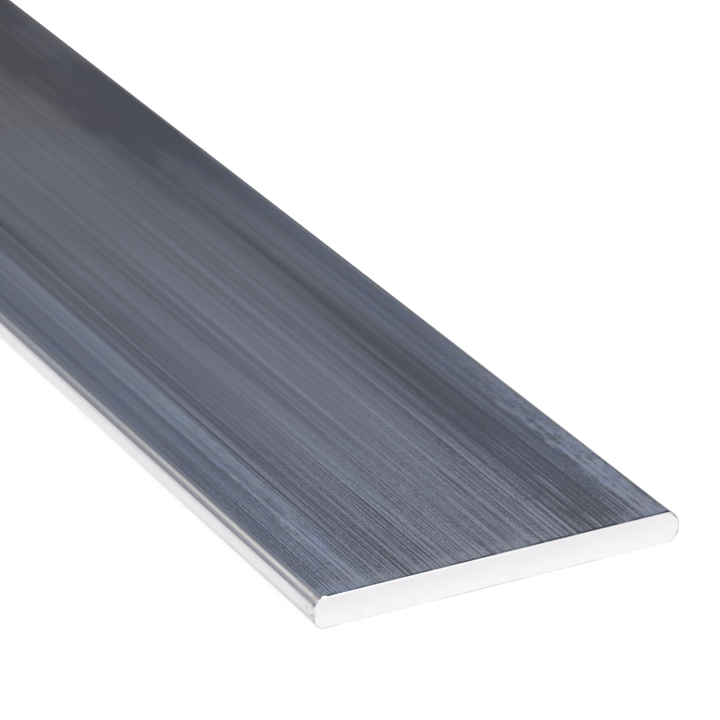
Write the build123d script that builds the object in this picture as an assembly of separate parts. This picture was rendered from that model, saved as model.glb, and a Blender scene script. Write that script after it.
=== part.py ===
from build123d import *

import os
from math import sqrt

# Extruded aluminium flat bar with rounded edges, one piece of stock lying flat.
# Millimetres. +X runs across the width, +Y along the length, +Z up.
# The origin is the middle of the bottom face, at half length.

# Driving dimensions
WIDTH = 38.1            # 1-1/2 in, over the crowns of both edges
THICKNESS = 3.175       # 1/8 in, between the two flats
LENGTH = 914.4          # 36 in, a stock length
EDGE_RADIUS = 1.75      # arc of each edge, a little flatter than a full half round
CORNER_BLEND = 0.35     # blend where an edge arc meets a flat
ARRIS_BREAK = 0.12      # deburred rim of each sawn end


def bar_section():
    """Section of the bar: two flats joined by an arc along each edge."""
    half_thickness = THICKNESS / 2
    crown = EDGE_RADIUS - sqrt(EDGE_RADIUS**2 - half_thickness**2)
    flat_end = WIDTH / 2 - crown
    with BuildSketch(Plane.XZ) as section:
        with BuildLine():
            Line((-flat_end, 0), (flat_end, 0))
            ThreePointArc((flat_end, 0), (WIDTH / 2, half_thickness), (flat_end, THICKNESS))
            Line((flat_end, THICKNESS), (-flat_end, THICKNESS))
            ThreePointArc((-flat_end, THICKNESS), (-WIDTH / 2, half_thickness), (-flat_end, 0))
        make_face()
        fillet(section.vertices(), radius=CORNER_BLEND)
    return section.sketch


def flat_bar():
    """Extrude the section both ways to the stock length and break the rims of the sawn ends."""
    bar = extrude(bar_section(), amount=LENGTH / 2, both=True)
    sawn_ends = bar.faces().filter_by(Axis.Y)
    return chamfer(sawn_ends.edges(), length=ARRIS_BREAK)


os.makedirs("parts", exist_ok=True)
export_step(flat_bar(), "parts/flat_bar.step")
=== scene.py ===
from math import asin, cos, pi, radians, sin, tan

import bmesh
import bpy
from mathutils import Matrix, Vector


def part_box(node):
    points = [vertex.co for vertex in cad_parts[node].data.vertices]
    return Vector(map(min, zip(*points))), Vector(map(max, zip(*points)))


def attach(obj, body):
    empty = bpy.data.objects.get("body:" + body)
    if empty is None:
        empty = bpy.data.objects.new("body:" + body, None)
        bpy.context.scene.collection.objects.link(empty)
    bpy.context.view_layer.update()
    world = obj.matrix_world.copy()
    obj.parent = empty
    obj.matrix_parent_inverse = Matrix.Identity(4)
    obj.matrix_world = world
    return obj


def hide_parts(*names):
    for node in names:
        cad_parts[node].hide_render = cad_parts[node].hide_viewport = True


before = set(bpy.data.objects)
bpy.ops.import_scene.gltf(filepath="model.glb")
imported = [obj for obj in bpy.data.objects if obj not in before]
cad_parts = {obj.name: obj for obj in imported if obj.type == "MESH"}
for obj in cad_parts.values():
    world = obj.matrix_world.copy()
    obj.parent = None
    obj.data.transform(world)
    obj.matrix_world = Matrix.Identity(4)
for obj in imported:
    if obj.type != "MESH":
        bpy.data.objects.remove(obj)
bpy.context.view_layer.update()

MM = 0.001

# ---------------------------------------------------------------- the bar's own sizes, in metres
low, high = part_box("flat_bar")
NEAR_END, FAR_END = low.y, high.y
LENGTH = FAR_END - NEAR_END
THICKNESS = high.z - low.z
HALF_WIDTH = high.x
MID_HEIGHT = THICKNESS / 2
EDGE_RADIUS = 1.75 * MM
CORNER_BLEND = 0.35 * MM
ARRIS_BREAK = 0.12 * MM

# Where each edge arc is centred, where it meets the flats, and how sharply it turns there.
ARC_CENTRE = HALF_WIDTH - EDGE_RADIUS
ARC_REACH = asin(MID_HEIGHT / EDGE_RADIUS)
FLAT_END = ARC_CENTRE + EDGE_RADIUS * cos(ARC_REACH)
CORNER_TURN = pi / 2 - ARC_REACH

# ---------------------------------------------------------------- the camera's place
FRAME_PX = 720
FOCAL_PX = 4935.9
PITCH_DOWN = radians(25.146)
YAW_RIGHT = radians(27.877)
NEAR_END_PX = (499.53, 569.74)      # where the middle of the near sawn end falls in the frame
NEAR_END_DEPTH = 446.64 * MM        # along the line of sight
SENSOR_MM = 36
NEAREST_SEEN, FARTHEST_SEEN = 0.01, 100


def make_camera():
    """The camera looks down the bar from beyond its near end."""
    level = cos(PITCH_DOWN)
    forward = Vector((sin(YAW_RIGHT) * level, cos(YAW_RIGHT) * level, -sin(PITCH_DOWN)))
    right = Vector((cos(YAW_RIGHT), -sin(YAW_RIGHT), 0))
    up = right.cross(forward)
    across = (NEAR_END_PX[0] - FRAME_PX / 2) / FOCAL_PX
    down = (NEAR_END_PX[1] - FRAME_PX / 2) / FOCAL_PX
    to_near_end = NEAR_END_DEPTH * (across * right - down * up + forward)
    camera = bpy.data.objects.new("camera", bpy.data.cameras.new("camera"))
    bpy.context.scene.collection.objects.link(camera)
    turn = Matrix((right, up, -forward)).transposed().to_4x4()
    place = Vector((0, NEAR_END, MID_HEIGHT)) - to_near_end
    camera.matrix_world = Matrix.Translation(place) @ turn
    camera.data.sensor_width = SENSOR_MM
    camera.data.lens = FOCAL_PX / FRAME_PX * SENSOR_MM
    camera.data.clip_start = NEAREST_SEEN
    camera.data.clip_end = FARTHEST_SEEN
    bpy.context.scene.camera = camera


# ---------------------------------------------------------------- node helpers
def clean_tree(owner):
    owner.use_nodes = True
    owner.node_tree.nodes.clear()
    return owner.node_tree


def feed(socket, source):
    """Gives a socket its source: another node's output, or a value."""
    if isinstance(source, bpy.types.NodeSocket):
        socket.id_data.links.new(source, socket)
    else:
        socket.default_value = source


def node(tree, kind, settings=None, **sources):
    """A shader node. Settings are its own properties, and sources feed its sockets by name."""
    made = tree.nodes.new("ShaderNode" + kind)
    for key, value in (settings or {}).items():
        setattr(made, key, value)
    for key, source in sources.items():
        feed(made.inputs[key.replace("_", " ")], source)
    return made


def tree_of(*sources):
    """The node tree that these sources belong to, of which at least one is another node's output."""
    return next(source.id_data for source in sources if isinstance(source, bpy.types.NodeSocket))


def maths(operation, first, second=0.0):
    made = tree_of(first, second).nodes.new("ShaderNodeMath")
    made.operation = operation
    feed(made.inputs[0], first)
    feed(made.inputs[1], second)
    return made.outputs[0]


def total(*terms):
    result = terms[0]
    for term in terms[1:]:
        result = maths("ADD", result, term)
    return result


def product(*factors):
    result = factors[0]
    for factor in factors[1:]:
        result = maths("MULTIPLY", result, factor)
    return result


def difference(first, second):
    return maths("SUBTRACT", first, second)


def greater(first, second):
    return maths("MAXIMUM", first, second)


def lesser(first, second):
    return maths("MINIMUM", first, second)


def blend_colours(share, first, second, kind="MIX"):
    made = tree_of(share).nodes.new("ShaderNodeMix")
    made.data_type = "RGBA"
    made.blend_type = kind
    colour_sockets = [s for s in made.inputs if s.type == "RGBA"]
    feed(made.inputs["Factor"], share)
    feed(colour_sockets[0], first)
    feed(colour_sockets[1], second)
    return [s for s in made.outputs if s.type == "RGBA"][0]


def blend_shaders(share, first, second):
    made = tree_of(share).nodes.new("ShaderNodeMixShader")
    for socket, source in zip(made.inputs, (share, first, second)):
        feed(socket, source)
    return made.outputs[0]


def ease(value, start, end, from_value=0.0, to_value=1.0):
    """A smooth step, from one value at start to the other at end. Start may be above end."""
    made = node(tree_of(value), "MapRange", {"interpolation_type": "SMOOTHSTEP"}, Value=value,
                From_Min=start, From_Max=end, To_Min=from_value, To_Max=to_value)
    return made.outputs["Result"]


def between(value, start, end, soft):
    """One from start to end, and zero outside, with soft limits."""
    return product(ease(value, start - soft, start + soft), ease(value, end + soft, end - soft))


def noise(place, size, stretch, detail=2.0, roughness=0.5):
    """Noise centred on zero, with patches of about this size, drawn out along the axes that stretch names."""
    scale = tuple(1 / amount for amount in stretch)
    mapped = node(tree_of(place), "Mapping", Vector=place, Scale=scale)
    made = node(tree_of(place), "TexNoise", Vector=mapped.outputs["Vector"], Scale=1 / size, Detail=detail,
                Roughness=roughness)
    return difference(made.outputs["Fac"], 0.5)


# ---------------------------------------------------------------- modelling helpers
PICK_MODES = {"verts": "VERT", "edges": "EDGE", "faces": "FACE"}


def make_active(piece):
    """This piece alone is selected, and is the active one."""
    bpy.ops.object.select_all(action="DESELECT")
    piece.select_set(True)
    bpy.context.view_layer.objects.active = piece


def open_piece(piece):
    """Edit mode on this piece alone, with nothing picked."""
    make_active(piece)
    bpy.ops.object.mode_set(mode="EDIT")
    bpy.ops.mesh.select_mode(type="VERT")
    bpy.ops.mesh.select_all(action="DESELECT")


def pick(piece, kind, test):
    """Picks the verts, edges or faces that pass the test, and nothing else."""
    bpy.ops.mesh.select_mode(type=PICK_MODES[kind])
    bpy.ops.mesh.select_all(action="DESELECT")
    mesh = bmesh.from_edit_mesh(piece.data)
    for item in getattr(mesh, kind):
        if test(item):
            item.select_set(True)
    bmesh.update_edit_mesh(piece.data)


def close_piece():
    bpy.ops.object.mode_set(mode="OBJECT")


def apply_modifier(piece, kind, **settings):
    modifier = piece.modifiers.new(kind.lower(), kind)
    for key, value in settings.items():
        setattr(modifier, key, value)
    make_active(piece)
    bpy.ops.object.modifier_apply(modifier=modifier.name)


# ---------------------------------------------------------------- the bar
CLOSE = 1e-6                # two points this near count as one
CUT_CLOSE = CLOSE / 10      # the same for the points beside a cut
CIRCLE_STEPS = 88           # leaves room for the corner blend on the last step before each flat
BLEND_STEPS = 3
HALF_FLAT_CUTS = 255
WAVE_SIZE = 1.4 * MM        # the shallow waves that the die leaves
WAVE_HEIGHT = 0.02 * MM
WAVE_DETAIL = 3
LENGTH_CUTS = 9
RIM_STATIONS = (0.45 * MM, 0.8 * MM, 1.5 * MM, 4 * MM, 10 * MM)     # from each sawn end
RIM_RINGS = 3
RIM_MARGIN = 0.03 * MM
BURR_TIP = -17.86 * MM
BURR_DEPTH = 0.9 * ARRIS_BREAK          # it rises from the rim this near the sawn end
BURR_STROKES = (            # how far to each side of the tip, and how much higher
    (0.55 * MM, 0.04 * MM),
    (0.33 * MM, 0.05 * MM),
    (0.19 * MM, 0.06 * MM),
    (0.08 * MM, 0.08 * MM),
)
NOSE_FACET_DEPTH = 0.26 * MM    # one stroke of the file on the near left nose
NOSE_FACET_LENGTH = 0.40 * MM
SMOOTH_ANGLE = radians(50)

# How nearly a face's normal lies along the bar, for a sawn end with its rim and for the end alone, and how
# nearly it faces outward for the filed facet.
RIM_LEAN = 0.2
END_LEAN = 0.99
FACET_LEAN = 0.999


def draw_edge_arc():
    """The right edge's arc: a full circle, cut off at the flats and at its own middle."""
    bpy.ops.object.select_all(action="DESELECT")
    bpy.ops.mesh.primitive_circle_add(vertices=CIRCLE_STEPS, radius=EDGE_RADIUS, fill_type="NOTHING",
                                      location=(ARC_CENTRE, NEAR_END + ARRIS_BREAK, MID_HEIGHT),
                                      rotation=(pi / 2, 0, 0))
    bar = bpy.context.active_object
    bpy.ops.object.transform_apply(location=True, rotation=True, scale=True)
    open_piece(bar)
    cuts = (((0, 0, THICKNESS), (0, 0, 1)), ((0, 0, 0), (0, 0, -1)), ((ARC_CENTRE, 0, 0), (-1, 0, 0)))
    for point, outward in cuts:
        bpy.ops.mesh.select_all(action="SELECT")
        bpy.ops.mesh.bisect(plane_co=point, plane_no=outward, clear_outer=True, threshold=CUT_CLOSE)
    close_piece()
    return bar


def at_corner(vert):
    """True where an edge arc meets a flat."""
    return min(abs(vert.co.z), abs(vert.co.z - THICKNESS)) < CLOSE and vert.co.x > FLAT_END - 10 * CLOSE


def draw_flats(bar):
    """Half flats run from the arc's ends to the middle, their corners are blended, and the left half
    mirrors the right. The flats are then cut finely enough to take the die's waves."""
    open_piece(bar)
    for height in (0, THICKNESS):
        pick(bar, "verts", lambda v: at_corner(v) and abs(v.co.z - height) < CLOSE)
        bpy.ops.mesh.extrude_region_move(TRANSFORM_OT_translate={"value": (-FLAT_END, 0, 0)})
    pick(bar, "verts", at_corner)
    bpy.ops.mesh.bevel(affect="VERTICES", offset=CORNER_BLEND * tan(CORNER_TURN / 2), segments=BLEND_STEPS)
    close_piece()
    apply_modifier(bar, "MIRROR", use_axis=(True, False, False), use_mirror_merge=True,
                   merge_threshold=10 * CLOSE)
    open_piece(bar)
    pick(bar, "edges", lambda e: e.calc_length() > HALF_WIDTH / 2)
    bpy.ops.mesh.subdivide(number_cuts=HALF_FLAT_CUTS)
    close_piece()


def draw_die_relief(bar):
    """The die leaves shallow waves across the section, the same all along the bar."""
    waves = bpy.data.textures.new("die_waves", "CLOUDS")
    waves.noise_scale = WAVE_SIZE
    waves.noise_depth = WAVE_DETAIL
    apply_modifier(bar, "DISPLACE", texture=waves, direction="Z", mid_level=0.5, strength=WAVE_HEIGHT)


def draw_out(bar):
    """The section is filled, drawn out to where the rims start to round, and cut into stations along it."""
    open_piece(bar)
    bpy.ops.mesh.select_all(action="SELECT")
    bpy.ops.mesh.edge_face_add()
    bpy.ops.mesh.extrude_region_move(TRANSFORM_OT_translate={"value": (0, LENGTH - 2 * ARRIS_BREAK, 0)})
    bpy.ops.mesh.select_all(action="SELECT")
    bpy.ops.mesh.normals_make_consistent(inside=False)
    pick(bar, "edges", lambda e: abs(e.verts[0].co.y - e.verts[1].co.y) > LENGTH / 2)
    bpy.ops.mesh.subdivide(number_cuts=LENGTH_CUTS)
    for station in RIM_STATIONS:
        for along in (NEAR_END + station, FAR_END - station):
            bpy.ops.mesh.select_all(action="SELECT")
            bpy.ops.mesh.bisect(plane_co=(0, along, 0), plane_no=(0, 1, 0), threshold=CUT_CLOSE)
    close_piece()


def is_sawn_end(face):
    return abs(face.normal.y) > END_LEAN


def round_rims(bar):
    """Each sawn end is carried out ring by ring, so that its rim is rounded, and gets a flat margin."""
    open_piece(bar)
    for ring in range(RIM_RINGS):
        start, end = pi / 2 * ring / RIM_RINGS, pi / 2 * (ring + 1) / RIM_RINGS
        pick(bar, "faces", is_sawn_end)
        bpy.ops.mesh.inset(thickness=ARRIS_BREAK * (cos(start) - cos(end)),
                           depth=ARRIS_BREAK * (sin(end) - sin(start)))
    pick(bar, "faces", is_sawn_end)
    bpy.ops.mesh.inset(thickness=RIM_MARGIN)
    close_piece()


def raise_burr(bar):
    """The saw has left one small burr, standing on the rim at the near left corner."""
    open_piece(bar)
    for reach, lift in BURR_STROKES:
        pick(bar, "verts", lambda v: abs(v.co.x - BURR_TIP) < reach and v.co.z > MID_HEIGHT
             and v.co.y < NEAR_END + BURR_DEPTH)
        bpy.ops.transform.translate(value=(0, 0, lift))
    close_piece()


def file_nose(bar):
    """A stroke of the file has left an upright facet on the near left nose, right at the sawn end."""
    outward = Vector((-NOSE_FACET_LENGTH, -NOSE_FACET_DEPTH, 0)).normalized()
    open_piece(bar)
    bpy.ops.mesh.select_all(action="SELECT")
    bpy.ops.mesh.bisect(plane_co=(NOSE_FACET_DEPTH - HALF_WIDTH, NEAR_END, 0), plane_no=outward,
                        clear_outer=True, use_fill=True, threshold=CUT_CLOSE)
    pick(bar, "faces", lambda f: f.normal.dot(outward) > FACET_LEAN)
    bpy.ops.mesh.mark_sharp()
    close_piece()


def share_out_finishes(bar):
    """The mill flats, the rubbed edges and the sawn ends each get their own finish."""
    flats, edges, ends = range(3)
    for finish in (mill_finish(), rubbed_finish(), sawn_finish()):
        bar.data.materials.append(finish)
    for face in bar.data.polygons:
        on_end = abs(face.normal.y) > RIM_LEAN
        on_edge = abs(face.center.x) > FLAT_END - CORNER_BLEND / 4
        face.material_index = ends if on_end else edges if on_edge else flats


def model_bar():
    bar = draw_edge_arc()
    bar.name = bar.data.name = "bar_stock"
    draw_flats(bar)
    draw_die_relief(bar)
    draw_out(bar)
    round_rims(bar)
    raise_burr(bar)
    file_nose(bar)
    share_out_finishes(bar)
    make_active(bar)
    bpy.ops.object.shade_smooth_by_angle(angle=SMOOTH_ANGLE)
    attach(bar, "root")
    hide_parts("flat_bar")


# ---------------------------------------------------------------- how the finishes are written
# A texture is (size of its patches, stretch along each axis, detail, roughness), with the last ones left out
# where they are plain. A fade is (start, end, value at start, value at end), and runs from 0 to 1 where no
# values are given. A band is (start, end, softness). All bands and most fades run over places in metres:
# across the bar to the right of its middle, up from its foot, or in from the nearer sawn end. The others run
# over the value of a texture, which lies around zero. A tone is a share of the way from dark to light.
EVEN = (1, 1, 1)

# The flats' colours are darker and bluer than bare aluminium: partly the metal's own, partly painted shade
# for the dim, bluish room that they mirror.
FLAT_DARK = (0.168, 0.185, 0.225, 1)
FLAT_LIGHT = (0.600, 0.632, 0.697, 1)
BLUE_FILM = (0.925, 1.02, 1.14, 1)      # thin coloured oxide films tint the flats
VIOLET_FILM = (0.955, 0.993, 1.15, 1)
DRY_FILM = (1.0, 0.905, 0.835, 1)
# Painted shade: the dark line along the upper rim of the saw cut.
CUT_SHADE = (0.085, 0.08, 0.09, 1)
RUBBED_PALE = (0.81, 0.80, 0.81, 1)
# The edges' grey, for their own tone and for the painted shade low on them.
RUBBED_GREY_AND_SHADE = (0.62, 0.61, 0.63, 1)
# Painted shade for the edges: the right one further along, and along the top of the left one.
RUBBED_SHADE = (0.35, 0.345, 0.37, 1)
# Painted shade along the right edge's crest by the cut; also the right edge's specular tint.
CREST_SHADE_AND_TINT = (0.16, 0.16, 0.18, 1)
SCUFF = (0.60, 0.585, 0.57, 1)
WHITE = (1, 1, 1, 1)
SAWN_PALE = (0.90, 0.90, 0.90, 1)
SAWN_DARKER = (0.83, 0.805, 0.83, 1)
# Painted shade for the broken rim of the sawn ends.
ARRIS_SHADE = (0.44, 0.44, 0.45, 1)


def start_finish(name):
    """A new material, and the shaded point's place: as a whole, and across, along and up from the foot."""
    material = bpy.data.materials.new(name)
    tree = clean_tree(material)
    place = node(tree, "TexCoord").outputs["Object"]
    return (material, place, *node(tree, "SeparateXYZ", Vector=place).outputs)


def end_distance(along):
    """How far a point is from the nearer sawn end."""
    return lesser(difference(along, NEAR_END), difference(FAR_END, along))


def finish_metal(material, colour, dullness, relief, depth, strength=1.0, **others):
    """The metal's shader, with fine relief of this depth and any other sockets of the shader."""
    tree = material.node_tree
    bump = node(tree, "Bump", Height=relief, Strength=strength, Distance=depth)
    shader = node(tree, "BsdfPrincipled", Base_Color=colour, Metallic=1.0, Roughness=dullness,
                  Normal=bump.outputs["Normal"], **others)
    node(tree, "OutputMaterial", Surface=shader.outputs["BSDF"])
    return material


# ---------------------------------------------------------------- the mill flats: marks that stand out
# Most are drawn along the whole upper flat by the die; noise gives the rest. The dark marks right beside the
# rounded edges, at about ±17.7 to ±17.9 mm, are painted shade where the edges mirror the dark room, and the
# pale one at 17.8 mm, which grows further along, is painted highlight. Each has its place across and half
# width in mm, and how much lighter or darker it is. The broad ones have one strength by the sawn ends and
# another further along; the end marks show only beside the cuts.
BROAD_MARKS = (
    (-17.9, 0.9, -0.12, -0.12),
    (-16.4, 2.2, -0.14, -0.16),
    (-15.0, 0.6, -0.17, -0.08),
    (-13.8, 0.4, -0.12, -0.15),
    (-11.4, 0.5, +0.24, +0.08),
    (-10.9, 1.4, -0.16, -0.16),
    (-10.2, 0.3, -0.20, -0.25),
    (-9.3, 0.7, -0.30, -0.32),
    (-8.7, 0.4, -0.14, -0.36),
    (-6.6, 0.9, -0.12, -0.09),
    (-3.7, 0.4, +0.16, +0.05),
    (-2.9, 0.5, -0.12, +0.10),
    (-1.7, 0.4, +0.14, +0.28),
    (-0.9, 0.5, -0.28, -0.20),
    (2.5, 0.6, +0.12, +0.18),
    (5.6, 0.5, -0.14, -0.20),
    (6.5, 0.6, -0.32, -0.08),
    (7.3, 0.4, -0.05, +0.20),
    (8.1, 0.6, -0.30, -0.04),
    (9.3, 1.0, -0.34, -0.08),
    (11.0, 0.4, -0.20, 0.0),
    (11.4, 2.9, -0.50, -0.20),
    (13.0, 0.4, -0.15, 0.0),
    (13.7, 0.4, +0.10, +0.18),
    (14.4, 2.2, -0.26, -0.18),
    (14.9, 0.6, -0.14, -0.08),
    (15.7, 0.4, 0.0, +0.10),
    (16.8, 2.2, -0.45, -0.38),
    (17.4, 0.5, +0.32, +0.08),
    (17.8, 0.4, 0.0, +0.34),
)
END_MARKS = (
    (-14.1, 0.7, +0.30),
    (-12.5, 0.6, -0.30),
    (-8.0, 1.0, +0.16),
    (-4.6, 0.4, +0.34),
    (-2.9, 0.6, -0.15),
    (2.3, 0.4, +0.26),
    (3.5, 0.6, +0.30),
    (8.5, 0.6, -0.22),
    (10.0, 1.4, -0.26),
    (13.6, 0.6, -0.34),
    (16.7, 1.0, +0.34),
    (17.7, 0.4, -0.28),
)
THIN_MARKS = (
    (-17.9, 0.20, -0.35),
    (-17.0, 0.12, -0.30),
    (-12.3, 0.10, -0.40),
    (-11.9, 0.14, -0.75),
    (-11.6, 0.12, +0.30),
    (-10.1, 0.12, -0.32),
    (-9.0, 0.10, -0.25),
    (-5.9, 0.10, -0.25),
    (-5.7, 0.20, +0.24),
    (-4.7, 0.22, +0.30),
    (-2.3, 0.10, +0.25),
    (1.2, 0.25, -0.30),
    (3.8, 0.24, +0.40),
    (6.6, 0.12, -0.30),
    (6.9, 0.14, +0.42),
    (9.7, 0.12, -0.25),
    (10.8, 0.14, +0.26),
)
MARK_CORE = 0.2                         # the share of a mark's half width that has its full strength
NARROW = 0.6                            # broad marks up to this half width, in mm, fade under the film
BROAD_CHANGE = (26 * MM, 66 * MM)       # where their strength changes from the one to the other
NARROW_FADE = (50 * MM, 92 * MM, 1.0, 0.4)
THIN_FADE = (14 * MM, 54 * MM, 1.0, 0.05)
END_FADE = (18 * MM, 5 * MM)


def die_mark(across, place, half_width, strength):
    off = maths("ABSOLUTE", difference(across, place * MM))
    return ease(off, half_width * MM, MARK_CORE * half_width * MM, 0.0, strength)


def die_marks(across, from_end):
    """All the marks, added up. The thinner they are, the sooner they are lost under the film."""
    changing = [(half_width, die_mark(across, place, half_width, ease(from_end, *BROAD_CHANGE, near, far)))
                for place, half_width, near, far in BROAD_MARKS]
    broad = [mark for half_width, mark in changing if half_width > NARROW]
    narrow = [mark for half_width, mark in changing if half_width <= NARROW]
    thin = [die_mark(across, *mark) for mark in THIN_MARKS]
    at_end = [die_mark(across, *mark) for mark in END_MARKS]
    return total(*broad, product(total(*narrow), ease(from_end, *NARROW_FADE)),
                 product(total(*thin), ease(from_end, *THIN_FADE)),
                 product(total(*at_end), ease(from_end, *END_FADE)))


# ---------------------------------------------------------------- the mill flats: fine die lines
HAIRLINES = (0.11 * MM, (1, 500, 1), 1)
HAIRLINES_FADE = (7 * MM, 30 * MM, 5.7, 0.0)
LINES = (0.24 * MM, (1, 300, 1), 1)
LINES_FADE = (4 * MM, 46 * MM, 1.20, 0.02)
SOFT_LINES = (0.45 * MM, (1, 200, 1), 0)
SOFT_LINES_RISE = (12 * MM, 32 * MM, 0.0, 0.42)
SOFT_LINES_FADE = (32 * MM, 58 * MM, 1.0, 0.0)
STREAKS = (0.8 * MM, (1, 200, 1), 0.2)
STREAKS_RISE = (15 * MM, 50 * MM, 0.42, 0.74)
STREAKS_FADE = (68 * MM, 92 * MM, 1.0, 0.3)
FITFUL = (1.8 * MM, (1, 2.5, 1))        # the finer lines come and go in such patches
FITFUL_STRENGTH = (-0.15, 0.15, 0.55, 1.4)
FAINTER_LEFT = (-12.5 * MM, -11 * MM, 0.88, 1.0)
FAINTER_RIGHT = (4 * MM, 6 * MM, 1.0, 0.88)
FAINTER_FAR_RIGHT = (11 * MM, 13.5 * MM, 1.0, 0.78)


def die_lines(place, across, from_end):
    """Lines of four widths, the finest first. The finer two are fitful, and crisp only by the sawn ends."""
    fitful = product(ease(noise(place, *FITFUL), *FITFUL_STRENGTH), ease(across, *FAINTER_LEFT),
                     ease(across, *FAINTER_RIGHT), ease(across, *FAINTER_FAR_RIGHT))
    hairlines = product(noise(place, *HAIRLINES), fitful, ease(from_end, *HAIRLINES_FADE))
    lines = product(noise(place, *LINES), fitful, ease(from_end, *LINES_FADE))
    soft_lines = product(noise(place, *SOFT_LINES), ease(from_end, *SOFT_LINES_RISE),
                         ease(from_end, *SOFT_LINES_FADE))
    streaks = product(noise(place, *STREAKS), ease(from_end, *STREAKS_RISE), ease(from_end, *STREAKS_FADE))
    return hairlines, lines, soft_lines, streaks


# ---------------------------------------------------------------- the mill flats: matt skin and film
BANDS = (3.5 * MM, (1, 60, 1))
BANDS_TONE = 0.15
FILM = (9 * MM, (1, 3, 1), 4)
FILM_TONE = 0.16
GRAIN = (0.14 * MM, (1, 1.3, 1), 2)
GRAIN_TONE = 2.3
FROST = (0.45 * MM, (1, 1.5, 1), 2)
FROST_TONE = 0.4
SKIN_FADE = (5 * MM, 42 * MM, 1.0, 0.15)
SKIN_RIGHT = (6 * MM, 11 * MM, 1.0, 0.65)
FLECKS = (0.22 * MM, (1, 1.2, 1), 0)
FLECKS_RISE = (0.20, 0.30)
FLECKS_FADE = (2 * MM, 18 * MM, 0.4, 0.0)


def matt_skin(place, across, from_end, grain):
    """A matt, frosted skin with a few pale flecks, plain to see by the sawn ends."""
    frost = noise(place, *FROST)
    skin = product(total(product(grain, GRAIN_TONE), product(frost, FROST_TONE)), ease(from_end, *SKIN_FADE),
                   ease(across, *SKIN_RIGHT))
    flecks = product(ease(noise(place, *FLECKS), *FLECKS_RISE), ease(from_end, *FLECKS_FADE))
    return skin, flecks


# ---------------------------------------------------------------- the mill flats: the painted dark patch
# Painted reflection: a dark patch painted on the right of the upper flat, with a faint dark rim before it.
PATCH_WANDER = (7 * MM, (1, 2, 1), 4)
PATCH_WANDER_REACH = 60.0 * MM
PATCH_SLANT = 0.9                       # how much sooner it starts, for each metre across
PATCH_TONGUE = (12.3 * MM, 14.0 * MM, 0.9 * MM)     # a strip where it starts later
PATCH_TONGUE_DELAY = 4.5 * MM
PATCH_ALONG = (115 * MM, 210 * MM, 11 * MM)         # from the near end
PATCH_ACROSS = (4.4 * MM, 9.0 * MM, 0.0, -0.27)
PATCH_RIM_LEFT = (5 * MM, 8.5 * MM)                 # the rim's two sides
PATCH_RIM_RIGHT = (11.2 * MM, 10.4 * MM)
PATCH_RIM_START = (76 * MM, 92 * MM)
PATCH_RIM_TONE = -0.10
VEIL_ACROSS = (12.5 * MM, 15 * MM, 0.0, 0.12)
VEIL_BESIDE_EDGE = (14.4 * MM, 15.5 * MM, 0.0, 0.24)
VEIL_ALONG = (124 * MM, 146 * MM, 7 * MM)           # from the near end
LESS_WANDER = 0.5


def painted_dark_patch(place, across, along, from_end):
    """Painted reflection: a dark patch on the right of the upper flat, with a faint dark rim before it, and a
    pale veil over it beside the long edge."""
    from_near_end = difference(along, NEAR_END)
    wander = product(noise(place, *PATCH_WANDER), PATCH_WANDER_REACH)
    less_wander = product(wander, LESS_WANDER)
    slant = product(across, PATCH_SLANT)
    tongue = product(between(across, *PATCH_TONGUE), -PATCH_TONGUE_DELAY)
    patch_part = between(total(from_near_end, wander, slant, tongue), *PATCH_ALONG)
    dark_patch = product(ease(across, *PATCH_ACROSS), patch_part)
    rim = product(ease(across, *PATCH_RIM_LEFT), ease(across, *PATCH_RIM_RIGHT),
                  ease(total(from_end, less_wander), *PATCH_RIM_START), PATCH_RIM_TONE)
    veil = product(total(ease(across, *VEIL_ACROSS), ease(across, *VEIL_BESIDE_EDGE)),
                   between(total(from_near_end, less_wander), *VEIL_ALONG))
    return total(lesser(dark_patch, rim), veil)


# ---------------------------------------------------------------- the mill flats: pale bloom
BLOOM_WANDER = (4 * MM, EVEN, 3)
BLOOM_WANDER_REACH = 2.0 * MM
MOTTLE = (0.7 * MM, (1, 2.5, 1), 4, 0.65)
MOTTLE_STRENGTH = (-0.14, 0.10, 0.30, 1.25)
LEFT_BLOOM = (-14.75 * MM, -13.4 * MM, 0.45 * MM)
LEFT_BLOOM_FADE = (18 * MM, 13 * MM, 0.0, 0.46)
LEFT_TRAIL = (-13.5 * MM, -12.4 * MM, 0.25 * MM)
LEFT_TRAIL_ALONG = (14 * MM, 44 * MM, 5 * MM)
LEFT_TRAIL_TONE = 0.18
EDGE_LINE = (-14.45 * MM, -14.2 * MM, 0.1 * MM)
EDGE_LINE_WANDER = (3 * MM, (1, 2, 1), 3)
EDGE_LINE_WANDER_REACH = 0.7 * MM
EDGE_LINE_RISE = (12 * MM, 16 * MM)
EDGE_LINE_FADE = (26 * MM, 70 * MM, 0.38, 0.0)
RIGHT_BLOOM = (15.0 * MM, 15.6 * MM)
RIGHT_BLOOM_FADE = (50 * MM, 5 * MM, 0.0, 0.72)


def pale_bloom(place, across, from_end, bloom_wander):
    """Where a pale bloom lies on the upper flat, beside the long edges and towards the sawn ends."""
    place_across = total(across, bloom_wander)
    left_bloom = product(between(place_across, *LEFT_BLOOM), ease(from_end, *LEFT_BLOOM_FADE))
    left_trail = product(between(place_across, *LEFT_TRAIL), between(from_end, *LEFT_TRAIL_ALONG),
                         LEFT_TRAIL_TONE)
    nearly_straight = total(across, product(noise(place, *EDGE_LINE_WANDER), EDGE_LINE_WANDER_REACH))
    edge_line = product(between(nearly_straight, *EDGE_LINE), ease(from_end, *EDGE_LINE_RISE),
                        ease(from_end, *EDGE_LINE_FADE))
    right_bloom = product(ease(place_across, *RIGHT_BLOOM), ease(from_end, *RIGHT_BLOOM_FADE))
    return product(total(left_bloom, left_trail, edge_line, right_bloom),
                   ease(noise(place, *MOTTLE), *MOTTLE_STRENGTH))


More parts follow.
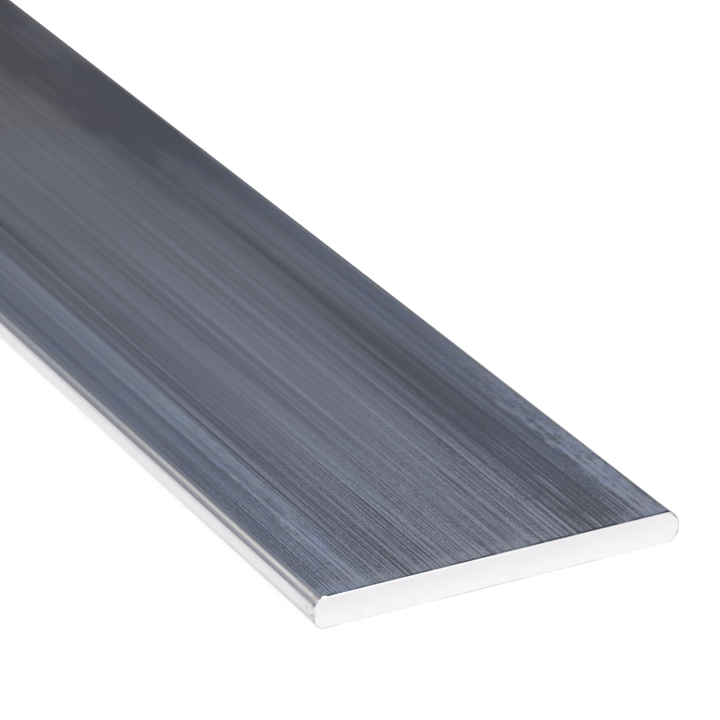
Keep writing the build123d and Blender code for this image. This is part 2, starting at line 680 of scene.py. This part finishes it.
# ---------------------------------------------------------------- the mill flats: beside the saw cut
CUT_PALE = (9 * MM, 1 * MM, 0.0, 0.08)
CUT_WANDER = (1.2 * MM, EVEN, 2)
CUT_WANDER_REACH = 2 * MM
CUT_STRIP = (2.8 * MM, 1.2 * MM)
CUT_SPECKLE = (0.0, 0.14, 0.12, 0.27)
CUT_LEFT_HALF = (6.5 * MM, 4 * MM, 0.0, 0.18)
CUT_DARKER = (6.4 * MM, 10.9 * MM, 0.3 * MM)
CUT_DARKER_TONE = -0.20
CUT_PALER = (11.5 * MM, 15.4 * MM, 0.3 * MM)
CUT_PALER_TONE = 0.10
CUT_LEFT_CORNER = (-11 * MM, -14 * MM, 0.0, 0.10)
CUT_LINE = (0.50 * MM, 0.28 * MM)
CUT_LINE_NARROWING = (-8 * MM, 4 * MM, 0.05 * MM, 0.0)
CUT_LINE_REACH = (-8 * MM, 4 * MM, 0.9, 1.0)
CUT_LINE_BREAKS = (1.5 * MM, EVEN, 3)
CUT_LINE_BROKEN = (-0.10, 0.08, 0.25, 1.0)


def cut_strip(place, across, from_end, grain):
    """Towards the saw cut the metal is paler and speckled."""
    wandering = total(from_end, product(noise(place, *CUT_WANDER), CUT_WANDER_REACH))
    strip = total(ease(grain, *CUT_SPECKLE), ease(across, *CUT_LEFT_HALF),
                  product(between(across, *CUT_DARKER), CUT_DARKER_TONE),
                  product(between(across, *CUT_PALER), CUT_PALER_TONE), ease(across, *CUT_LEFT_CORNER))
    return total(ease(from_end, *CUT_PALE), product(ease(wandering, *CUT_STRIP), strip))


def cut_line(place, across, from_end):
    """Where the dark line along the upper rim of the saw cut shows: painted shade for the dark room that the
    rim mirrors.
    """
    close_in = ease(total(from_end, ease(across, *CUT_LINE_NARROWING)), *CUT_LINE)
    breaks = ease(noise(place, *CUT_LINE_BREAKS), *CUT_LINE_BROKEN)
    return product(close_in, ease(across, *CUT_LINE_REACH), breaks)


# ---------------------------------------------------------------- the mill flats: coloured films
BLOTCHES = (1.6 * MM, (1, 1.6, 1), 2)
BLOTCHES_STRENGTH = (-0.08, 0.12, 0.10, 1.0)
HUES = (2.2 * MM, (1, 1.4, 1), 2)
BLUE_TO_VIOLET = (-0.08, 0.08)
FILM_LEFT = (-11.8 * MM, -12.8 * MM)
FILM_RIGHT = (13.0 * MM, 15.4 * MM)
FILM_FADE = (85 * MM, 45 * MM, 0.5, 1.0)
DRY_START = (103 * MM, 118 * MM)
DRY_WANDER = 6.0
DRY_SLANT = 0.7
DRY_AT_CUT = (14 * MM, 2 * MM, 0.0, 0.22)
DRY_CORNER = (15.4 * MM, 15.9 * MM)
DRY_CORNER_SLANT = -0.3
DRY_CORNER_END = (11 * MM, 7 * MM)
DRY_CORNER_SHARE = 0.7


def film_tints(place, across, from_end, above, bloom_wander, colour):
    """Coloured films on the upper flat: blue and violet along both edges, fading away from the sawn ends,
    and a dry brown one further along and at the cut."""
    place_across = total(across, bloom_wander)
    beside_edges = total(ease(place_across, *FILM_LEFT), ease(place_across, *FILM_RIGHT))
    strength = product(beside_edges, above, ease(noise(place, *BLOTCHES), *BLOTCHES_STRENGTH),
                       ease(from_end, *FILM_FADE))
    film = blend_colours(ease(noise(place, *HUES), *BLUE_TO_VIOLET), BLUE_FILM, VIOLET_FILM)
    colour = blend_colours(strength, colour, film, "MULTIPLY")
    wandering = total(from_end, product(bloom_wander, DRY_WANDER), product(across, DRY_SLANT))
    far_part = ease(wandering, *DRY_START)
    near_part = ease(from_end, *DRY_AT_CUT)
    right_corner = product(ease(total(across, product(from_end, DRY_CORNER_SLANT)), *DRY_CORNER),
                           ease(from_end, *DRY_CORNER_END), DRY_CORNER_SHARE)
    dry = product(greater(far_part, greater(near_part, right_corner)), above)
    return blend_colours(dry, colour, DRY_FILM, "MULTIPLY")


# ---------------------------------------------------------------- the mill flats as a whole
FLAT_TONE = 0.48
# Painted shade: the flats' reflection darkens further along, so they are painted darker there.
DARKENING_ALONG = (8 * MM, 70 * MM, 0.05, -0.05)           # the flats grow darker away from the cut
DARKEST_BAND = (80 * MM, 99 * MM, 8 * MM)           # and are painted darkest before the dark patch
DARKEST_BAND_TONE = -0.05
PALER_LEFT = (-11.5 * MM, -12.5 * MM)
PALER_LEFT_RISE = (26 * MM, 42 * MM)
PALER_LEFT_TONE = 0.10
# Painted highlight, where the right edge's highlight spreads onto the flat further along.
EDGE_HIGHLIGHT = (17.80 * MM, 17.96 * MM)                   # a pale line along the right edge of the flat
EDGE_HIGHLIGHT_RISE = (26 * MM, 80 * MM, 0.0, 1.1)
FLAT_DULLNESS = 0.22
STREAKS_DULLNESS = 0.12
FILM_DULLNESS = 0.3
FLAT_RELIEF = 0.004 * MM
GRAIN_RELIEF = 0.4
BRUSHED = 0.8                                       # how much the die lines draw the gloss out


def mill_finish():
    """Mill-finish aluminium, drawn through a die and left to oxidise; its dark, bluish colour is partly
    painted shade for the dim room it mirrors. The fine textures are crisp by the sawn ends and lie under the
    film further along."""
    material, place, across, along, height = start_finish("mill_finish")
    from_end = end_distance(along)
    above = maths("GREATER_THAN", height, MID_HEIGHT)
    hairlines, lines, soft_lines, streaks = die_lines(place, across, from_end)
    bands = product(noise(place, *BANDS), BANDS_TONE)
    film = product(noise(place, *FILM), FILM_TONE)
    grain = noise(place, *GRAIN)
    skin, flecks = matt_skin(place, across, from_end, grain)
    # Painted shade: darker away from the cut, darkest just before the dark patch.
    painted_falloff = total(ease(from_end, *DARKENING_ALONG), product(between(from_end, *DARKEST_BAND), DARKEST_BAND_TONE))
    paler_left = product(ease(across, *PALER_LEFT), ease(from_end, *PALER_LEFT_RISE), PALER_LEFT_TONE)
    # Painted highlight along the right edge of the flat.
    edge_highlight = product(ease(across, *EDGE_HIGHLIGHT), ease(from_end, *EDGE_HIGHLIGHT_RISE))
    bloom_wander = product(noise(place, *BLOOM_WANDER), BLOOM_WANDER_REACH)
    # The dark patch is a painted reflection.
    dark_patch = painted_dark_patch(place, across, along, from_end)
    bloom = pale_bloom(place, across, from_end, bloom_wander)
    on_top = product(total(dark_patch, die_marks(across, from_end), paler_left, bloom, edge_highlight), above)
    tone = total(FLAT_TONE, painted_falloff, hairlines, lines, soft_lines, streaks, bands, film, skin, flecks, on_top,
                 cut_strip(place, across, from_end, grain))
    colour = blend_colours(lesser(greater(tone, 0.0), 1.0), FLAT_DARK, FLAT_LIGHT)
    colour = film_tints(place, across, from_end, above, bloom_wander, colour)
    # Painted shade along the upper rim of the saw cut.
    colour = blend_colours(product(cut_line(place, across, from_end), above), colour, CUT_SHADE)
    dullness = total(FLAT_DULLNESS, product(streaks, STREAKS_DULLNESS), product(film, FILM_DULLNESS))
    relief = total(lines, product(grain, GRAIN_RELIEF))
    brushed_way = node(material.node_tree, "CombineXYZ", X=1.0).outputs["Vector"]
    return finish_metal(material, colour, dullness, relief, FLAT_RELIEF,
                        Anisotropic=BRUSHED, Tangent=brushed_way)


# ---------------------------------------------------------------- the rubbed edges
DRAW_LINES = (0.14 * MM, (1, 150, 1), 2)
PATCHES = (1.2 * MM, (1, 3, 1), 3)
PATCHES_TONE = 0.4
SPECKS = (0.5 * MM, (1, 1.4, 1), 3)
EDGE_TONE = 0.2
# Painted shade: a darker band low on the edges by the sawn ends, for the bar's shadow on the floor that they
# mirror.
LOW_BAND = (0.80 * MM, 1.35 * MM, 0.15 * MM)
LOW_BAND_FADE = (40 * MM, 2 * MM, 0.15, 0.95)
MID_BAND = (2.24 * MM, 2.56 * MM, 0.10 * MM)
MID_BAND_RISE = (0.0, 60 * MM, 0.20, 0.75)
MID_BAND_RIGHT = 0.3                    # its share on the right edge
UNDERSIDE = (1.1 * MM, 0.7 * MM)
# Painted shade greys the undersides by the sawn ends, for the mirrored shadow under the bar, and a painted
# highlight whitens them further along.
UNDERSIDE_SHADE = (26 * MM, 6 * MM, 0.0, 0.55)
UNDERSIDE_HIGHLIGHT = (22 * MM, 60 * MM, 0.0, 0.7)
# Painted shade: the right edge darkens further along, where its highlight fades, and a band along the top of
# the left edge is darker.
RIGHT_SHADING = (0.0, 60 * MM, 0.0, 0.4)
LEFT_SHOULDER = (3.02 * MM, 3.16 * MM)
LEFT_SHOULDER_RISE = (1 * MM, 12 * MM, 0.1, 0.6)
LEFT_SHOULDER_FAR = (12 * MM, 60 * MM, 0.0, 0.2)
# Painted shade along the right edge's crest by the cut.
CREST = (3.13 * MM, 3.165 * MM)
CREST_WIDENING = (0.3 * MM, 1.4 * MM, 0.25 * MM, 0.0)       # how much lower it reaches by the cut
CREST_FADE = (36 * MM, 10 * MM, 0.0, 0.75)
GRAZED_BY_CUT = (0.0, 8 * MM)
GRAZED_ALONG = (-20 * MM, 70 * MM)
SCUFFS_RISE = (0.0, 0.14)
SCUFFS_FADE = (3.5 * MM, 0.3 * MM, 0.0, 0.8)
EDGE_DULLNESS = 0.16
PATCHES_DULLNESS = 0.10
LEFT_BLUR = (8 * MM, 1 * MM, 0.0, 0.10)
RIGHT_BLUR = (8 * MM, 50 * MM, 0.0, 0.15)
EDGE_RELIEF = 0.0015 * MM
SPECKS_RELIEF = 0.5


def rubbed_finish():
    """The rounded edges, rubbed bright in handling, with faint draw lines and a few scuffs by the sawn ends.
    The right edge is rougher further along, where painted shade darkens it, and is painted darkest along its
    crest by the cut. Painted shade also lies low on the edges and on their undersides by the cuts, and along
    the top of the left edge, and a painted highlight whitens the undersides further along."""
    material, place, across, along, height = start_finish("rubbed_finish")
    from_end = end_distance(along)
    right = maths("GREATER_THAN", across, 0.0)
    left = difference(1.0, right)
    lines = noise(place, *DRAW_LINES)
    patches = noise(place, *PATCHES)
    specks = noise(place, *SPECKS)

    # Painted shade low on the edges, for the mirrored shadow.
    painted_low_shade = product(between(height, *LOW_BAND), ease(from_end, *LOW_BAND_FADE))
    underside = ease(height, *UNDERSIDE)
    mid_band = product(between(height, *MID_BAND), ease(from_end, *MID_BAND_RISE),
                       greater(left, MID_BAND_RIGHT))
    # Grey from the edges' tone, draw lines and patches, with painted shade low on the edges and on their
    # undersides by the cuts.
    grey_and_shade = total(EDGE_TONE, painted_low_shade, product(underside, ease(from_end, *UNDERSIDE_SHADE)), mid_band, lines,
                 product(patches, PATCHES_TONE))
    colour = blend_colours(grey_and_shade, RUBBED_PALE, RUBBED_GREY_AND_SHADE)
    # Painted highlight: the undersides are painted whiter further along.
    colour = blend_colours(product(underside, ease(from_end, *UNDERSIDE_HIGHLIGHT)), colour, WHITE)
    # Painted shade over the right edge further along, and along the top of the left edge.
    right_shade = product(ease(from_end, *RIGHT_SHADING), right)
    shoulder = product(ease(height, *LEFT_SHOULDER), left,
                       total(ease(from_end, *LEFT_SHOULDER_RISE), ease(from_end, *LEFT_SHOULDER_FAR)))
    colour = blend_colours(greater(right_shade, shoulder), colour, RUBBED_SHADE)
    crest_height = total(height, ease(from_end, *CREST_WIDENING))
    # Painted shade along the right crest by the cut, where it mirrors the dark room.
    painted_crest_shade = product(ease(crest_height, *CREST), ease(from_end, *CREST_FADE), right)
    colour = blend_colours(painted_crest_shade, colour, CREST_SHADE_AND_TINT)
    scuffs = product(ease(specks, *SCUFFS_RISE), ease(from_end, *SCUFFS_FADE))
    colour = blend_colours(scuffs, colour, SCUFF)

    grazed = product(ease(from_end, *GRAZED_BY_CUT), ease(from_end, *GRAZED_ALONG), right)
    left_blur = product(ease(from_end, *LEFT_BLUR), left)
    right_blur = product(ease(from_end, *RIGHT_BLUR), right)
    dullness = total(EDGE_DULLNESS, product(patches, PATCHES_DULLNESS), left_blur, right_blur)
    relief = total(lines, product(specks, SPECKS_RELIEF))
    return finish_metal(material, colour, dullness, relief, EDGE_RELIEF,
                        Specular_Tint=blend_colours(grazed, WHITE, CREST_SHADE_AND_TINT))


# ---------------------------------------------------------------- the sawn ends
SAW_MARKS = (0.38 * MM, (1, 1, 3), 3)           # they run up and down
SAW_MARKS_TONE = 0.4
SAWN_PATCHES = (2.4 * MM, EVEN, 3)
SAWN_PATCHES_TONE = 0.7
# The sawn ends are darker towards the top.
DARKER_UPWARDS = (0.2 * THICKNESS, 0.95 * THICKNESS, 0.0, 0.75)
# Painted highlight: a white line along the upper rim of each sawn end, where the rounded rim mirrors the
# white floor.
BRIGHT_RIM_DEPTH = (0.002 * MM, 0.02 * MM)
BRIGHT_RIM_HEIGHT = (THICKNESS - 0.17 * MM, THICKNESS - 0.09 * MM)
BRIGHT_RIM_ACROSS = (8 * MM, -4 * MM, 0.3, 1.0)
# Painted shade on the broken rim of each sawn end: along its foot, on the left heel and round the right arc.
FOOT = (0.16 * MM, 0.05 * MM)
FOOT_RIGHT = (14 * MM, 9 * MM, 0.15, 1.0)
FOOT_LEFT = (-16.2 * MM, -17.0 * MM, 0.35, 1.0)
FOOT_MIDDLE = (-8 * MM, -4 * MM, 0.0, 0.65)
RIGHT_ARC = (EDGE_RADIUS - 0.26 * MM, EDGE_RADIUS - 0.14 * MM)      # from the arc's centre
RIGHT_ARC_START = (17.5 * MM, 17.9 * MM)
RIGHT_ARC_LEAST = 0.35                          # how grey it is outside its darker parts
# Heights where the right arc's painted shade is darker.
UPPER_DARKER = (2.35 * MM, 2.92 * MM, 0.12 * MM)
LOWER_DARKER = (0.70 * MM, 1.15 * MM, 0.15 * MM)
DARKER_SHARE = 0.65
HEEL_DEPTH = (0.004 * MM, 0.02 * MM)
HEEL_START = (-17.4 * MM, -17.9 * MM)
HEEL_HEIGHT = (1.3 * MM, 0.9 * MM)
UNEVEN = (-0.12, 0.12, 0.3, 1.0)
ALL_GREY_LEFT = (-15.5 * MM, -16.5 * MM)
FILED_START = (-18.6 * MM, -18.8 * MM)
FILED_DEPTH = (0.005 * MM, 0.03 * MM)
FILED_PATCHES = (0.4 * MM, EVEN, 3)
FILED_STRENGTH = (-0.12, 0.12, 0.5, 1.0)
SAWN_DULLNESS = 0.3
SAWN_RELIEF = 0.004 * MM
SAWN_RELIEF_STRENGTH = 0.5


def arris_shade(place, across, height, from_end, patches):
    """How grey the painted shade makes the broken rim of a sawn end: along its foot and on the left heel,
    where the rim mirrors the shadow under the bar, and round the right arc, where it mirrors the dark room.
    """
    foot = product(ease(height, *FOOT), ease(across, *FOOT_RIGHT),
                   total(ease(across, *FOOT_LEFT), ease(across, *FOOT_MIDDLE)))
    heel = product(ease(from_end, *HEEL_DEPTH), ease(across, *HEEL_START), ease(height, *HEEL_HEIGHT))
    in_section = node(tree_of(place), "CombineXYZ", X=across, Z=height).outputs["Vector"]
    from_arc_centre = node(tree_of(place), "VectorMath", {"operation": "DISTANCE"}, Vector=in_section)
    from_arc_centre.inputs[1].default_value = (ARC_CENTRE, 0, MID_HEIGHT)
    darker_parts = greater(between(height, *UPPER_DARKER), between(height, *LOWER_DARKER))
    right_arc = product(ease(from_arc_centre.outputs["Value"], *RIGHT_ARC), ease(across, *RIGHT_ARC_START),
                        total(RIGHT_ARC_LEAST, product(darker_parts, DARKER_SHARE)))
    patchy = greater(ease(patches, *UNEVEN), ease(across, *ALL_GREY_LEFT))
    return greater(right_arc, product(greater(foot, heel), patchy))


def sawn_finish():
    """Bright, fine-grained sawn metal, darker towards the top, with a painted highlight along the upper rim,
    painted shade on the broken rim, and a filed nose."""
    material, place, across, along, height = start_finish("sawn_finish")
    from_end = end_distance(along)
    marks = noise(place, *SAW_MARKS)
    patches = noise(place, *SAWN_PATCHES)
    darker = total(ease(height, *DARKER_UPWARDS), product(patches, SAWN_PATCHES_TONE),
                 product(marks, SAW_MARKS_TONE))
    colour = blend_colours(darker, SAWN_PALE, SAWN_DARKER)
    # Painted highlight along the upper rim.
    painted_rim_highlight = product(greater(ease(from_end, *BRIGHT_RIM_DEPTH), ease(height, *BRIGHT_RIM_HEIGHT)),
                         ease(across, *BRIGHT_RIM_ACROSS))
    colour = blend_colours(painted_rim_highlight, colour, WHITE)
    # Painted shade on the broken rim.
    colour = blend_colours(arris_shade(place, across, height, from_end, patches), colour, ARRIS_SHADE)
    filed = product(ease(across, *FILED_START), ease(from_end, *FILED_DEPTH),
                    ease(noise(place, *FILED_PATCHES), *FILED_STRENGTH))
    colour = blend_colours(filed, colour, SCUFF)
    return finish_metal(material, colour, SAWN_DULLNESS, marks, SAWN_RELIEF, SAWN_RELIEF_STRENGTH)


# ---------------------------------------------------------------- floor
FLOOR_SIZE = 60.0
FLOOR_DROP = 0.02 * MM
FLOOR_COLOUR = (0.82, 0.82, 0.82, 1)    # for the light that it casts on the bar
FLOOR_GLOW = 0.895
SHADOW_SHARE = 0.15         # the part of the seen brightness that is real light, which a shadow takes away


def seen_or_mirrored(tree):
    path = node(tree, "LightPath").outputs
    return greater(greater(path["Is Camera Ray"], path["Is Glossy Ray"]), path["Is Transmission Ray"])


def make_floor():
    """A pale floor, evenly bright to the eye and in the metal, which keeps the bar's shadow."""
    bpy.ops.object.select_all(action="DESELECT")
    bpy.ops.mesh.primitive_plane_add(size=FLOOR_SIZE, location=(0, 0, -FLOOR_DROP))
    floor = bpy.context.active_object
    bpy.ops.object.transform_apply(location=True, rotation=True, scale=True)
    floor.name = floor.data.name = "floor"
    material = bpy.data.materials.new("white_floor")
    tree = clean_tree(material)
    plain = node(tree, "BsdfDiffuse", Color=FLOOR_COLOUR).outputs[0]
    shaded = node(tree, "BsdfDiffuse", Color=(SHADOW_SHARE, SHADOW_SHARE, SHADOW_SHARE, 1))
    glow = node(tree, "Emission", Color=WHITE, Strength=FLOOR_GLOW)
    shown = tree.nodes.new("ShaderNodeAddShader")
    feed(shown.inputs[0], shaded.outputs[0])
    feed(shown.inputs[1], glow.outputs[0])
    node(tree, "OutputMaterial", Surface=blend_shaders(seen_or_mirrored(tree), plain, shown.outputs[0]))
    floor.data.materials.append(material)


# ---------------------------------------------------------------- room and lamp
# Places in the room are directions from the bar, in degrees: azimuths from +Y towards +X, and elevations
# above the floor. Left and right are given by how far a direction leans towards +X, from -1 to 1.
WALL_DIM = (0.185, 0.175, 0.19, 1)
WALL_LEFT = (0.29, 0.31, 0.365, 1)
WALL_UPPER = (0.25, 0.29, 0.35, 1)
BACK_PANEL = (0.42, 0.445, 0.505, 1)
BACK_PANEL_FOOT = (0.25, 0.255, 0.275, 1)
FRONT_PANEL = (0.97, 0.97, 0.97, 1)
WINDOW = (1.27, 1.20, 1.10, 1)
WINDOW_HAZE = (0.66, 0.69, 0.76, 1)
WINDOW_SILL = (0.62, 0.64, 0.70, 1)
DOORWAY = (0.08, 0.08, 0.09, 1)

LEFT_WALL = (0.1, -0.5)
UPPER_WALL = (18, 36)
BACK_PANEL_ACROSS = (2, 48, 10)
BACK_PANEL_BOTTOM = (15, 19)
BACK_PANEL_TOP = (50, 44)
BACK_PANEL_FOOT_TOP = (20.5, 27)
FRONT_SIDES = (100, 125)
FRONT_TOP = (75, 60)
SWEEP_SOFT = 1.5                # the white floor is swept up the walls, with this soft an upper edge
SWEEP_RIGHT_TO_LEFT = (0.3, -0.3)
SWEEP_HEIGHTS = (0.5, 6.3)
SWEEP_CORNER = (0.54, 0.60)     # it stands higher on the far right
SWEEP_CORNER_HEIGHT = 8
SILL_PLACE = (-38, 20.5, 3, 6.5)            # azimuth, elevation, inner and outer radius
WINDOW_PLACE = (-35, 33.8, 8.5, 13.5)
DOORWAY_PLACE = (-150, 27.6, 8, 16)


def in_radians(degrees):
    return tuple(radians(amount) for amount in degrees)


def toward(azimuth, elevation):
    """The direction at this many degrees from +Y towards +X, and this many above the floor."""
    level = cos(radians(elevation))
    return Vector((sin(radians(azimuth)) * level, cos(radians(azimuth)) * level, sin(radians(elevation))))


def round_patch(direction, azimuth, elevation, inner, outer):
    """One inside a round patch of the room, zero outside, with its radii in degrees."""
    dot = node(tree_of(direction), "VectorMath", {"operation": "DOT_PRODUCT"}, Vector=direction)
    dot.inputs[1].default_value = toward(azimuth, elevation)
    return ease(maths("ARCCOSINE", dot.outputs["Value"]), radians(outer), radians(inner))


def sweep(lean, elevation):
    """One on the white sweep round the foot of the walls, zero above it."""
    top = total(ease(lean, *SWEEP_RIGHT_TO_LEFT, *in_radians(SWEEP_HEIGHTS)),
                ease(lean, *SWEEP_CORNER, 0.0, radians(SWEEP_CORNER_HEIGHT)))
    return ease(difference(elevation, top), radians(SWEEP_SOFT), radians(-SWEEP_SOFT))


def make_room():
    """A plain studio for the metal to mirror: dim walls on a white sweep, a soft panel behind, a bright
    front, a small window and its sill on the left, and a doorway. The camera itself sees plain white."""
    world = bpy.data.worlds.new("room")
    bpy.context.scene.world = world
    tree = clean_tree(world)
    direction = node(tree, "TexCoord").outputs["Generated"]
    lean, ahead, rise = node(tree, "SeparateXYZ", Vector=direction).outputs
    azimuth = maths("ARCTAN2", lean, ahead)
    elevation = maths("ARCSINE", rise)

    room = blend_colours(ease(lean, *LEFT_WALL), WALL_DIM, WALL_LEFT)
    room = blend_colours(ease(elevation, *in_radians(UPPER_WALL)), room, WALL_UPPER)
    back = product(between(azimuth, *in_radians(BACK_PANEL_ACROSS)),
                   ease(elevation, *in_radians(BACK_PANEL_BOTTOM)),
                   ease(elevation, *in_radians(BACK_PANEL_TOP)))
    panel = blend_colours(ease(elevation, *in_radians(BACK_PANEL_FOOT_TOP)), BACK_PANEL_FOOT, BACK_PANEL)
    room = blend_colours(back, room, panel)
    front = product(ease(maths("ABSOLUTE", azimuth), *in_radians(FRONT_SIDES)),
                    ease(elevation, *in_radians(FRONT_TOP)))
    room = blend_colours(front, room, FRONT_PANEL)
    room = blend_colours(sweep(lean, elevation), room, WHITE)
    room = blend_colours(round_patch(direction, *SILL_PLACE), room, WINDOW_SILL)
    window = round_patch(direction, *WINDOW_PLACE)
    room = blend_colours(window, room, blend_colours(window, WINDOW_HAZE, WINDOW))
    room = blend_colours(round_patch(direction, *DOORWAY_PLACE), room, DOORWAY)

    mirrored = node(tree, "Background", Color=room, Strength=1.0).outputs[0]
    seen = node(tree, "Background", Color=WHITE, Strength=1.0).outputs[0]
    to_camera = node(tree, "LightPath").outputs["Is Camera Ray"]
    node(tree, "OutputWorld", Surface=blend_shaders(to_camera, mirrored, seen))


def make_lamp(name, azimuth, elevation, distance, size, radiance):
    """A square soft lamp, facing the near end of the bar. Radiance is the brightness of its face."""
    lamp = bpy.data.lights.new(name, "AREA")
    lamp.shape = "SQUARE"
    lamp.size = size
    lamp.energy = radiance * size * size * pi
    body = bpy.data.objects.new(name, lamp)
    bpy.context.scene.collection.objects.link(body)
    direction = toward(azimuth, elevation)
    body.location = Vector((0, NEAR_END, 0)) + distance * direction
    body.rotation_euler = direction.to_track_quat("Z", "Y").to_euler()


make_camera()
model_bar()
make_floor()
make_room()
make_lamp("ceiling_panel", azimuth=-158, elevation=65, distance=3.0, size=3.0, radiance=1.6)
bpy.context.scene.view_settings.view_transform = "Standard"
